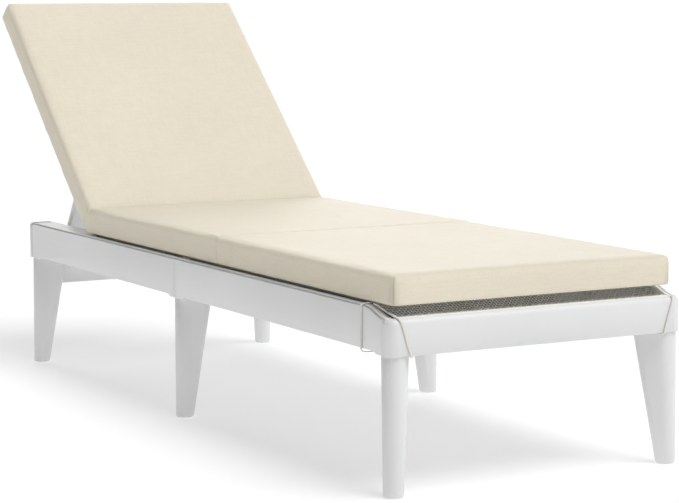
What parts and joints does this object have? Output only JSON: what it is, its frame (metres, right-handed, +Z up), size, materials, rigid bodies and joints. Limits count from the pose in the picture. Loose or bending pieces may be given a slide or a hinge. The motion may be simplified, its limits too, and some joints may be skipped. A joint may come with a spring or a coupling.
{
  "type": "reclining sun lounger",
  "caption": "Low garden lounger with a moulded frame on tapered legs, woven-look bed panels, a hinged backrest held by a folding prop, and a cream pad tied at the corners.",
  "frame": {"origin": "on the floor, under the middle of the lounger box at rest, with the backrest raised and the ties included", "axes": "+X to the right of someone standing at the foot and looking to the head, +Y from the foot to the head, +Z up"},
  "size_m": [0.5874, 1.7357, 0.7805],
  "materials": {
    "frame_plastic": "white moulded plastic with a fine satin grain",
    "panel_plastic": "white moulded plastic in a fine woven lattice",
    "steel": "zinc plated",
    "pad_cover": "cream woven polyester",
    "tie_elastic": "cream woven elastic"
  },
  "bodies": {
    "frame": {"foot_rail": "frame_plastic", "head_rail": "frame_plastic", "side_rail_left_foot": "frame_plastic", "side_rail_left_head": "frame_plastic", "rail_joiner_left": "frame_plastic", "leg_left_foot": "frame_plastic", "leg_left_middle": "frame_plastic", "leg_left_head": "frame_plastic", "leg_screw_left_foot": "steel", "leg_screw_left_middle": "steel", "leg_screw_left_head": "steel", "hinge_pin_left": "steel", "prop_rack_left": "frame_plastic", "rack_screw_left_1": "steel", "rack_screw_left_2": "steel", "foot_tie_left": "tie_elastic", "side_rail_right_foot": "frame_plastic", "side_rail_right_head": "frame_plastic", "rail_joiner_right": "frame_plastic", "leg_right_foot": "frame_plastic", "leg_right_middle": "frame_plastic", "leg_right_head": "frame_plastic", "leg_screw_right_foot": "steel", "leg_screw_right_middle": "steel", "leg_screw_right_head": "steel", "hinge_pin_right": "steel", "prop_rack_right": "frame_plastic", "rack_screw_right_1": "steel", "rack_screw_right_2": "steel", "foot_tie_right": "tie_elastic", "seat_panel_foot": "panel_plastic", "seat_panel_middle": "panel_plastic", "cross_beam_foot": "frame_plastic", "cross_beam_middle": "frame_plastic", "cross_beam_hinge": "frame_plastic", "pad_foot_section": "pad_cover", "pad_seat_section": "pad_cover"},
    "backrest": {"backrest_panel": "panel_plastic", "pad_back_section": "pad_cover", "head_tie_left": "tie_elastic", "head_tie_right": "tie_elastic"},
    "prop": {"prop_panel": "frame_plastic", "prop_bar": "steel", "prop_pin_left": "steel", "prop_pin_right": "steel"}
  },
  "joints": [
    {"name": "backrest_recline", "type": "hinge", "parent": "frame", "child": "backrest", "pos_m": [0, 0.41484, 0.28], "axis": [1, 0, 0], "range_deg": [-43, 7]},
    {"name": "prop_fold", "type": "hinge", "parent": "backrest", "child": "prop", "pos_m": [0, 0.55706, 0.40168], "axis": [1, 0, 0], "range_deg": [-17, 99.5]}
  ],
  "couplings": [
    {"joint": "prop_fold", "follows": "backrest_recline", "ratio": -2.3}
  ]
}
